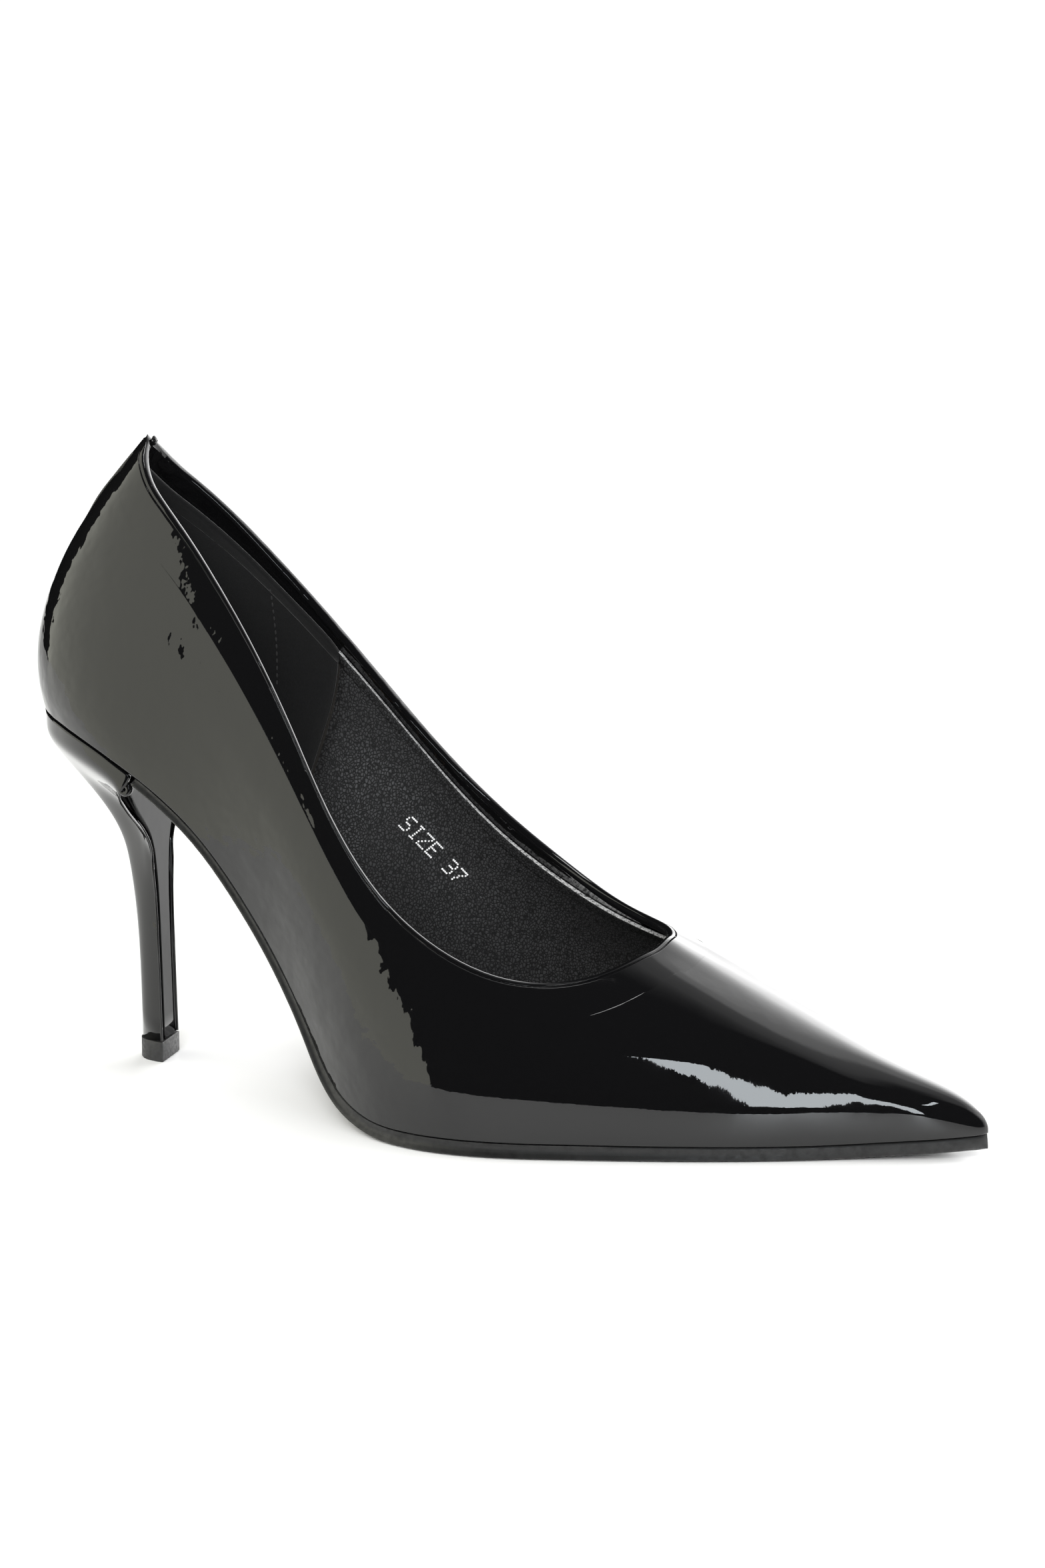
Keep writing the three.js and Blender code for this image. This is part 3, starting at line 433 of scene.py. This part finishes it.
def corners_of(node):
    return [v.co.copy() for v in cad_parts[node].data.vertices]


CUT_REACH = 3.2 * MM  # from the binding to the raw edge of the lining
CUT_FACE = 4 * MM * MM  # the largest face of that edge


def show_cut_edge(piece, rise=0.35):
    """The narrow faces along the top edge of a lining are its raw cut."""
    piece.data.materials.append(finishes["raw"])
    binding = [v.co.copy() for v in pieces["topline_binding"].data.vertices]
    faces = [f for f in piece.data.polygons if f.normal.z > rise and f.area < CUT_FACE]
    near = points_near([f.center for f in faces], binding, CUT_REACH)
    reached = {tuple(center) for center in near}
    for face in faces:
        if tuple(face.center) in reached:
            face.material_index = 1


show_cut_edge(pieces["vamp_lining"])


def tube(name, points, radius, material, slot):
    """A round bead through points, closed at both ends."""
    data = bpy.data.curves.new(name, "CURVE")
    data.dimensions = "3D"
    data.bevel_depth = radius
    data.bevel_resolution = 3
    data.use_fill_caps = True
    line = data.splines.new("BEZIER")
    line.bezier_points.add(len(points) - 1)
    for knot, point in zip(line.bezier_points, points):
        knot.co = point
        knot.handle_left_type = "AUTO"
        knot.handle_right_type = "AUTO"
    bead = bpy.data.objects.new(name, data)
    bpy.context.scene.collection.objects.link(bead)
    select_only(bead)
    bpy.ops.object.convert(target="MESH")
    shade(bead, 60)
    finish_piece(bead, material, slot)
    return bead


LIP_REACH = 1.95 * MM  # from the breast cover to the turned edge of the heel cover
LIP_RADIUS = 0.3 * MM
LIP_STEP = 4 * MM  # down the heel, from one point of the lip to the next
MIDDLE_GAP = 0.5 * MM  # a point closer to the middle belongs to neither side


def cover_lip(side, name):
    """The turned edge of the heel cover, from the seat down the breast to the top piece."""
    breast = corners_of("heel_breast_cover")
    edge = points_near(corners_of("heel_cover"), breast, LIP_REACH)
    row = sorted((p for p in edge if p.y * side > MIDDLE_GAP), key=lambda p: -p.z)
    groups = {}
    for point in row:
        groups.setdefault(round(point.z / LIP_STEP), []).append(point)
    line = [min(group, key=lambda p: abs(p.x - breast[0].x) - abs(p.y)) for group in groups.values()]
    return tube(name, line, LIP_RADIUS, finishes["wrapped"], "patent")


cover_lip(-1, "cover_lip_outer")
cover_lip(1, "cover_lip_inner")


def rolled_tuck(name, centre, turn_radius, thickness, start, sweep, flatten):
    """A tail of leather rolled up on itself, about an axis across the shoe."""
    bpy.ops.object.select_all(action="DESELECT")
    bpy.ops.mesh.primitive_circle_add(vertices=12, radius=thickness, location=(0, 0, 0))
    tail = bpy.context.active_object
    tail.name = name
    bpy.ops.object.mode_set(mode="EDIT")
    bpy.ops.mesh.select_all(action="SELECT")
    bpy.ops.transform.resize(value=(1, flatten, 1))
    bpy.ops.transform.translate(value=(turn_radius, 0, 0))
    bpy.ops.mesh.spin(steps=10, angle=math.radians(sweep), center=(0, 0, 0), axis=(0, 1, 0))
    bpy.ops.mesh.select_all(action="SELECT")
    bpy.ops.mesh.fill_holes(sides=0)
    bpy.ops.mesh.select_all(action="SELECT")
    bpy.ops.mesh.normals_make_consistent(inside=False)
    bpy.ops.object.mode_set(mode="OBJECT")
    tail.data.transform(Matrix.Translation(centre) @ Matrix.Rotation(math.radians(start), 4, "Y"))
    apply_modifier(tail, "SUBSURF", levels=2, render_levels=2)
    shade(tail, 70)
    finish_piece(tail, finishes["patent"], "patent")
    return tail


top_back = max(corners_of("topline_binding"), key=lambda p: p.z)
rolled_tuck(
    "fold_tuck",
    centre=top_back + Vector((1.4, 0.1, -0.9)) * MM,
    turn_radius=0.75 * MM,
    thickness=0.55 * MM,
    start=150,
    sweep=230,
    flatten=1.6,
)
rolled_tuck(
    "cover_tuck",
    centre=Vector((-84.9, -22.0, 71.8)) * MM,
    turn_radius=1.0 * MM,
    thickness=1.0 * MM,
    start=190,
    sweep=300,
    flatten=1.1,
)


def surface_of(*names):
    """One tree of faces of some pieces, to lay small things on."""
    work = bmesh.new()
    for name in names:
        work.from_mesh(pieces[name].data)
    tree = BVHTree.FromBMesh(work)
    work.free()
    return tree


inside = surface_of("vamp_lining", "heel_grip")


def dot_on(surface, start, direction, master, lift):
    """A copy of a small flat piece, laid on the first face in a direction."""
    place, normal, _, _ = surface.ray_cast(start, direction)
    if normal.dot(direction) > 0:
        normal = -normal
    copy = bpy.data.objects.new(master.name, master.data.copy())
    upright = normal.to_track_quat("Z", "Y").to_matrix().to_4x4()
    copy.data.transform(Matrix.Translation(place + normal * lift) @ upright)
    bpy.context.scene.collection.objects.link(copy)
    return copy


def joined(name, copies, master, material, slot):
    bpy.data.objects.remove(master)
    bpy.ops.object.select_all(action="DESELECT")
    for copy in copies:
        copy.select_set(True)
    bpy.context.view_layer.objects.active = copies[0]
    bpy.ops.object.join()
    piece = bpy.context.active_object
    piece.name = name
    finish_piece(piece, material, slot)
    return piece


def small_disc(name, radius, height, sides=8):
    bpy.ops.object.select_all(action="DESELECT")
    bpy.ops.mesh.primitive_cylinder_add(vertices=sides, radius=radius, depth=height)
    disc = bpy.context.active_object
    disc.name = name
    bpy.ops.object.mode_set(mode="EDIT")
    bpy.ops.mesh.select_all(action="SELECT")
    bpy.ops.mesh.bevel(offset=0.35 * height, segments=1, affect="EDGES")
    bpy.ops.object.mode_set(mode="OBJECT")
    return disc


# Dots of each letter, seven rows from the top.
LETTERS = {
    "S": "01111 10000 10000 01110 00001 00001 11110",
    "I": "01110 00100 00100 00100 00100 00100 01110",
    "Z": "11111 00001 00010 00100 01000 10000 11111",
    "E": "11111 10000 10000 11110 10000 10000 11111",
    "3": "11110 00001 00001 01110 00001 00001 11110",
    "7": "11111 00001 00010 00100 00100 01000 01000",
    " ": "00000 00000 00000 00000 00000 00000 00000",
}


def size_stamp(words):
    """The size, in foil dots on the lining of the inner quarter, along the topline."""
    start = Vector((-34.5, 10, 57)) * MM
    along = Vector((0.67, 0, -0.745))
    up = Vector((0.745, 0, 0.67))
    pitch = 0.47 * MM
    dot = small_disc("size_stamp", 0.24 * MM, 0.05 * MM)
    copies = []
    for place, letter in enumerate(words):
        for row, dots in enumerate(LETTERS[letter].split()):
            for column, shown in enumerate(dots):
                if shown == "1":
                    spot = start + along * pitch * (6 * place + column) - up * pitch * row * 1.1
                    copies.append(dot_on(inside, spot, Vector((0, 1, 0)), dot, 0.03 * MM))
    return joined("size_stamp", copies, dot, finishes["foil"], "lining")


def grip_stitches():
    """A row of stitches down each side of the suede grip."""
    count, pitch, lowest, back = 14, 1.75, 88, -65.5
    stitch = small_disc("grip_stitches", 0.35 * MM, 0.3 * MM)
    stitch.data.transform(Matrix.Diagonal((0.6, 1.7, 1, 1)))
    copies = []
    for side in (-1, 1):
        for step in range(count):
            spot = Vector((back, 0, lowest + pitch * step)) * MM
            copies.append(dot_on(inside, spot, Vector((0, side, 0)), stitch, 0.05 * MM))
    return joined("grip_stitches", copies, stitch, finishes["thread"], "suede")


size_stamp("SIZE 37")
grip_stitches()


def back_seam():
    """The closed seam down the middle of the back, rubbed flat."""
    count, pitch, lowest = 12, 5.3, 86.8
    behind = -0.2
    skin = surface_of("upper")
    points = []
    for step in range(count):
        height = (lowest + pitch * step) * MM
        outside = skin.ray_cast(Vector((behind, 0, height)), Vector((1, 0, 0)))[0]
        points.append(outside + Vector((0.22, 0, 0)) * MM)
    return tube("back_seam", points, 0.35 * MM, finishes["patent"], "patent")


back_seam()


def heel_top_piece():
    """The moulded top piece, with small round edges."""
    block = merged_copy("heel_top_piece", "heel_top_piece_finished")
    apply_modifier(
        block, "BEVEL", width=0.35 * MM, segments=3, limit_method="ANGLE", angle_limit=math.radians(40)
    )
    shade(block, 40)
    finish_piece(block, finishes["tip"], "tip", "heel_top_piece")
    return block


heel_top_piece()

# ---------------------------------------------------------------------------------------------
# Floor, light and camera
# ---------------------------------------------------------------------------------------------


def floor():
    """A pale sheet that ends just in front of the shoe, as a sheet on a table does."""
    front, side, back = -0.087, 0.8, 0.5
    bpy.ops.mesh.primitive_plane_add(size=1, location=(0, (front + back) / 2, 0))
    sheet = bpy.context.active_object
    sheet.name = "floor"
    sheet.scale = (2 * side, back - front, 1)
    bpy.ops.object.transform_apply(scale=True)
    sheet.data.materials.append(Finish("pale_floor", (0.9, 0.9, 0.9), 0.3).material)


def towards(azimuth, elevation):
    """From the shoe towards someone who stands at these angles, in degrees."""
    a, e = math.radians(azimuth), math.radians(elevation)
    return Vector((math.sin(a) * math.cos(e), -math.cos(a) * math.cos(e), math.sin(e)))


def softbox(name, direction, distance, size, radiance, colour=(1, 1, 1), lean=0, mirrored=True):
    """A soft light that looks at the shoe. An unmirrored one doesn't show in the gloss."""
    width, height = size
    back = towards(*direction)
    light = bpy.data.lights.new(name, "AREA")
    light.shape = "RECTANGLE"
    light.size = width
    light.size_y = height
    light.energy = radiance * math.pi * width * height
    light.color = colour
    box = bpy.data.objects.new(name, light)
    box.location = Vector((0, 0, 0.05)) + back * distance
    tilt = Quaternion((0, 0, 1), -math.radians(lean))
    box.rotation_euler = (back.to_track_quat("Z", "Y") @ tilt).to_euler()
    box.visible_glossy = mirrored
    box.visible_camera = False
    bpy.context.scene.collection.objects.link(box)


def camera():
    target = Vector((3.8, 0.5, 76)) * MM
    distance = 1.3
    back = towards(21, 16)
    data = bpy.data.cameras.new("camera")
    data.lens = 131.7
    data.sensor_width = 36
    eye = bpy.data.objects.new("camera", data)
    eye.location = target + back * distance
    eye.rotation_euler = back.to_track_quat("Z", "Y").to_euler()
    bpy.context.scene.collection.objects.link(eye)
    bpy.context.scene.camera = eye


WALL_GLOW = 5.0
ROOM_GLOW = 0.004
SEEN_WHITE = 1.1  # what the room looks like past the shoe


def surroundings():
    """A white room to look at. In the gloss it is dark, with a bright wall behind the shoe."""
    world = bpy.data.worlds.new("studio")
    world.use_nodes = True
    bpy.context.scene.world = world
    nodes, links = world.node_tree.nodes, world.node_tree.links

    def math_node(operation, first, second):
        node = nodes.new("ShaderNodeMath")
        node.operation = operation
        for socket, value in zip(node.inputs, (first, second)):
            if isinstance(value, (int, float)):
                socket.default_value = value
            else:
                links.new(value, socket)
        return node.outputs["Value"]

    def fade(value, low, high):
        node = nodes.new("ShaderNodeMapRange")
        node.interpolation_type = "SMOOTHSTEP"
        node.inputs["From Min"].default_value = low
        node.inputs["From Max"].default_value = high
        links.new(value, node.inputs["Value"])
        return node.outputs["Result"]

    direction = nodes.new("ShaderNodeTexCoord")
    parts = nodes.new("ShaderNodeSeparateXYZ")
    links.new(direction.outputs["Generated"], parts.inputs[0])
    around = math_node("ARCTAN2", parts.outputs["X"], parts.outputs["Y"])
    left_edge = fade(around, -0.3, -0.2)
    right_edge = fade(around, 1.6, 1.1)
    rising = nodes.new("ShaderNodeValToRGB")
    ramp = rising.color_ramp
    ramp.elements[0].position = 0.42
    ramp.elements[0].color = (1, 1, 1, 1)
    ramp.elements[1].position = 0.97
    ramp.elements[1].color = (0, 0, 0, 1)
    for position, level in ((0.6, 0.56), (0.7, 0.28), (0.76, 0.26), (0.8, 0.13), (0.9, 0.1)):
        ramp.elements.new(position).color = (level, level, level, 1)
    links.new(parts.outputs["Z"], rising.inputs["Fac"])
    above_table = fade(parts.outputs["Z"], -0.2, -0.1)
    beside = math_node("MULTIPLY", left_edge, right_edge)
    wall = math_node("MULTIPLY", math_node("MULTIPLY", beside, above_table), rising.outputs["Color"])
    glow = math_node("ADD", math_node("MULTIPLY", wall, WALL_GLOW), ROOM_GLOW)
    path = nodes.new("ShaderNodeLightPath")
    seen = nodes.new("ShaderNodeMix")
    seen.inputs["B"].default_value = SEEN_WHITE
    links.new(path.outputs["Is Camera Ray"], seen.inputs["Factor"])
    links.new(glow, seen.inputs["A"])
    links.new(seen.outputs["Result"], nodes["Background"].inputs["Strength"])
    nodes["Background"].inputs["Color"].default_value = (1, 1, 1, 1)


floor()
softbox("left_panel", (-61, 0), 0.85, (1.43, 2.2), 1.8, (1, 1, 0.88))
softbox("strip", (29.2, 11), 1.4, (0.09, 0.74), 11, (0.9, 0.96, 1), lean=-5)
softbox("high_strip", (49, 44), 1.4, (0.05, 0.6), 12, (0.9, 0.96, 1), lean=35)
softbox("ceiling", (0, 90), 1.2, (0.36, 0.36), 8)
softbox("front_fill", (10, 32), 1.4, (0.8, 0.8), 10, mirrored=False)
softbox("overhead", (8, 60), 1.6, (2.4, 2.4), 0.5, mirrored=False)
softbox("back_fill", (180, 72), 1.6, (2.4, 2.4), 0.6, mirrored=False)
camera()
surroundings()
bpy.context.scene.view_settings.view_transform = "Standard"

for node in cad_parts.values():
    node.data.materials.clear()
NODE_SLOTS = {
    "board": ["shank_board", "insole_board"],
    "foam": ["sock_foam"],
    "felt": ["heel_counter", "toe_puff", "bottom_filler"],
    "tape": ["topline_tape", "vamp_interlining"],
    "plastic": ["heel_core"],
    "steel": [
        "steel_shank",
        "shank_rivet_rear",
        "shank_rivet_front",
        "heel_screw",
        "top_piece_pin",
        "heel_tube",
        *(f"heel_nail_{i}" for i in range(1, 5)),
    ],
}
for slot, names in NODE_SLOTS.items():
    for name in names:
        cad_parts[name].data.materials.append(finishes[slot])
